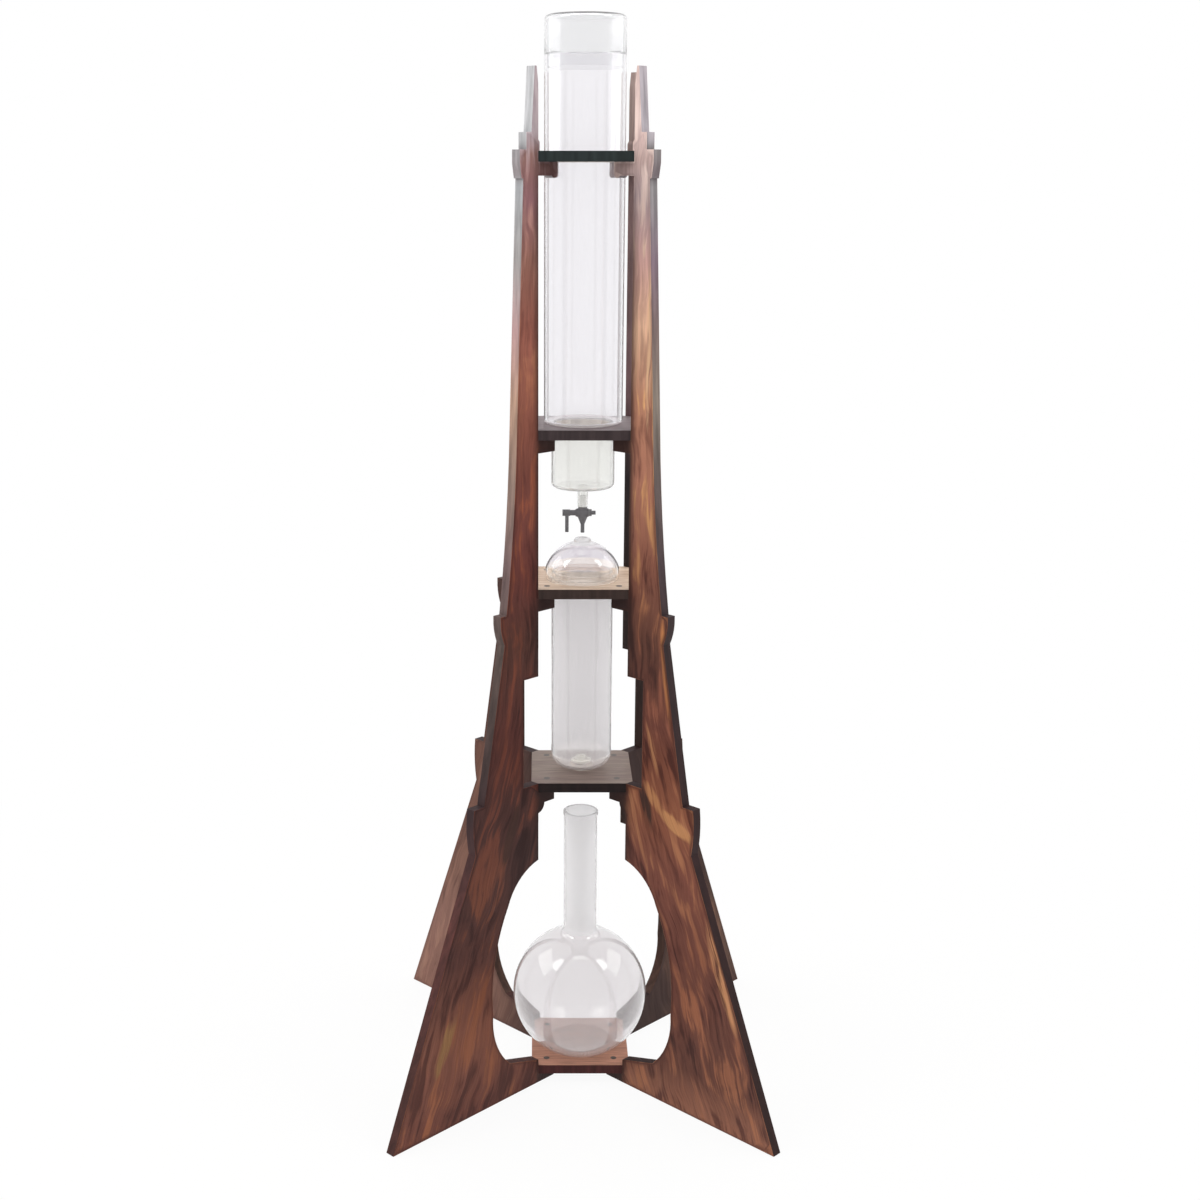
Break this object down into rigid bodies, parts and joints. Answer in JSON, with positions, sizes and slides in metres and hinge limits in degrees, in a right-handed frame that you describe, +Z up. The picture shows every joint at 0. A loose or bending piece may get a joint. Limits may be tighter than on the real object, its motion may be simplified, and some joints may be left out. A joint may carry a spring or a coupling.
{
  "type": "cold drip coffee tower",
  "caption": "Tall free-standing cold drip coffee maker: plank fins carry shelves with a lidded glass water vessel, a drip tap, a domed coffee chamber and a round flask.",
  "frame": {"origin": "on the floor, on the tower's vertical axis, midway between the four feet", "axes": "+Z up the tower's axis, -Y out of the front between two fins, +X to the right seen from the front"},
  "size_m": [0.4, 0.4, 1.11],
  "materials": {
    "charred_fin_wood": "charred and oiled solid plank",
    "stained_shelf_wood": "stained board with dark edges",
    "clear_glass": "clear borosilicate",
    "black_tap_plastic": "moulded, satin",
    "grey_tap_plastic": "smooth",
    "clear_silicone": "milky silicone",
    "white_ceramic": "fine porous ceramic",
    "dark_screw_steel": "dark oxide"
  },
  "bodies": {
    "tower": {"fin_front_left": "charred_fin_wood", "fin_front_right": "charred_fin_wood", "fin_back_left": "charred_fin_wood", "fin_back_right": "charred_fin_wood", "ring_shelf": "stained_shelf_wood", "vessel_shelf": "stained_shelf_wood", "chamber_shelf": "stained_shelf_wood", "drip_shelf": "stained_shelf_wood", "flask_shelf": "stained_shelf_wood", "ring_shelf_screws": "dark_screw_steel", "vessel_shelf_screws": "dark_screw_steel", "chamber_shelf_screws": "dark_screw_steel", "drip_shelf_screws": "dark_screw_steel", "flask_shelf_screws": "dark_screw_steel"},
    "vessel": {"water_vessel": "clear_glass", "tap_sleeve": "clear_silicone", "tap_body": "black_tap_plastic"},
    "tap_turning": {"tap_plug": "black_tap_plastic", "tap_lever": "black_tap_plastic", "plug_seals": "clear_silicone", "tap_washer": "grey_tap_plastic", "tap_nut": "black_tap_plastic"},
    "lid": {"vessel_lid": "clear_glass"},
    "dome": {"dome_lid": "clear_glass"},
    "chamber": {"coffee_chamber": "clear_glass", "filter_ring": "clear_silicone", "drip_filter": "white_ceramic"},
    "flask": {"flask": "clear_glass"}
  },
  "joints": [
    {"name": "vessel_lift", "type": "slide", "parent": "tower", "child": "vessel", "axis": [0, 0, 1], "range_m": [0, 0.4]},
    {"name": "lid_lift", "type": "slide", "parent": "vessel", "child": "lid", "axis": [0, 0, 1], "range_m": [0, 0.06]},
    {"name": "tap_turn", "type": "hinge", "parent": "vessel", "child": "tap_turning", "pos_m": [0, 0, 0.623], "axis": [-1, 0, 0], "range_deg": [0, 90]},
    {"name": "dome_lift", "type": "slide", "parent": "tower", "child": "dome", "axis": [0, 0, 1], "range_m": [0, 0.009]},
    {"name": "chamber_lift", "type": "slide", "parent": "tower", "child": "chamber", "axis": [0, 0, 1], "range_m": [0, 0.0085]},
    {"name": "flask_slide", "type": "slide", "parent": "tower", "child": "flask", "axis": [0, -0.9945, 0.1045], "range_m": [0, 0.3]}
  ]
}
